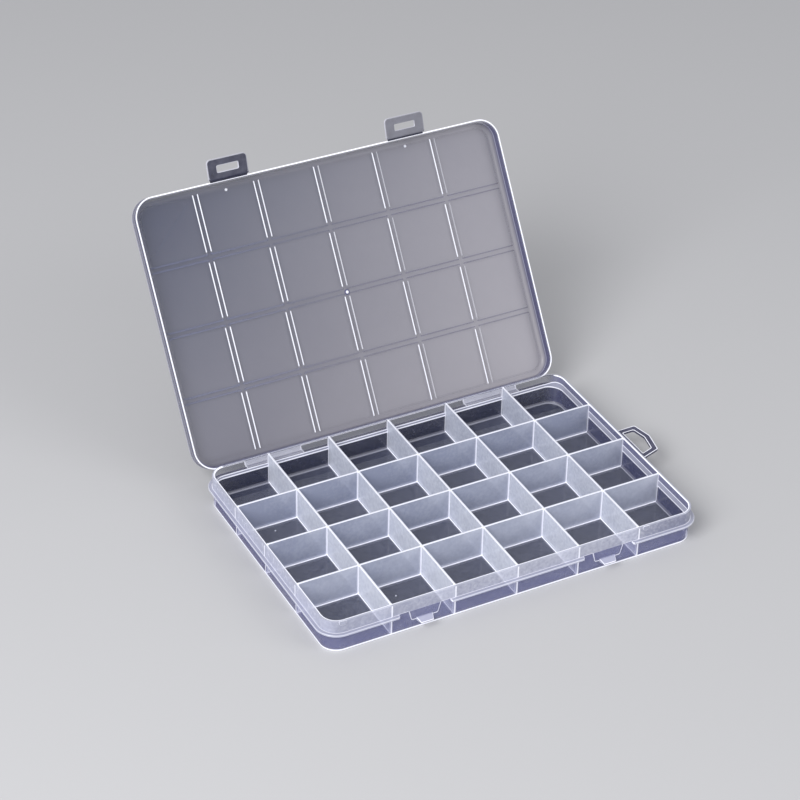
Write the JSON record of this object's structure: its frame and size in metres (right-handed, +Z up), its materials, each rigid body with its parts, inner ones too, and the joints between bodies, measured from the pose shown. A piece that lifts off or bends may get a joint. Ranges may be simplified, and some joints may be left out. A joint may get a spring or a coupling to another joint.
{
  "type": "bead storage box",
  "caption": "Shallow clear plastic bead storage box with fixed compartments, a hinged lid, snap tabs and a hanging loop.",
  "frame": {"origin": "middle of the tray's flat underside, on the surface that the box stands on", "axes": "+X along the box to the end with the hanging loop, +Y from the latch side to the hinge side, +Z up"},
  "size_m": [0.2104, 0.2144, 0.1346],
  "materials": {
    "clear_wall": "clear natural polypropylene, glossy",
    "milky_wall": "milky natural polypropylene, satin",
    "lid_wall": "slightly hazy natural polypropylene, glossy",
    "hinge_film": "stress-whitened thin polypropylene"
  },
  "bodies": {
    "tray": {"tray_shell": "clear_wall", "long_divider_1": "milky_wall", "long_divider_2": "milky_wall", "long_divider_3": "milky_wall", "long_divider_4": "milky_wall", "long_divider_5": "milky_wall", "cross_divider_1_1": "milky_wall", "cross_divider_1_2": "milky_wall", "cross_divider_1_3": "milky_wall", "cross_divider_1_4": "milky_wall", "cross_divider_1_5": "milky_wall", "cross_divider_1_6": "milky_wall", "cross_divider_2_1": "milky_wall", "cross_divider_2_2": "milky_wall", "cross_divider_2_3": "milky_wall", "cross_divider_2_4": "milky_wall", "cross_divider_2_5": "milky_wall", "cross_divider_2_6": "milky_wall", "cross_divider_3_1": "milky_wall", "cross_divider_3_2": "milky_wall", "cross_divider_3_3": "milky_wall", "cross_divider_3_4": "milky_wall", "cross_divider_3_5": "milky_wall", "cross_divider_3_6": "milky_wall", "hanging_loop": "clear_wall", "latch_catch_left": "milky_wall", "latch_catch_right": "milky_wall", "tray_hinge_leaf_left": "hinge_film", "tray_hinge_leaf_right": "hinge_film"},
    "lid": {"lid_shell": "lid_wall", "lid_hinge_leaf_left": "hinge_film", "lid_hinge_leaf_right": "hinge_film"},
    "left_tab": {"latch_tab_left": "clear_wall"},
    "right_tab": {"latch_tab_right": "clear_wall"}
  },
  "joints": [
    {"name": "lid_hinge", "type": "hinge", "parent": "tray", "child": "lid", "pos_m": [0, 0.0679, 0.01115], "axis": [-1, 0, 0], "range_deg": [-122.9, 57.1]},
    {"name": "left_tab_hinge", "type": "hinge", "parent": "lid", "child": "left_tab", "pos_m": [-0.0475, 0.14108, 0.124], "axis": [1, 0, 0], "range_deg": [-90, 75]},
    {"name": "right_tab_hinge", "type": "hinge", "parent": "lid", "child": "right_tab", "pos_m": [0.0475, 0.14108, 0.124], "axis": [1, 0, 0], "range_deg": [-90, 75]}
  ]
}
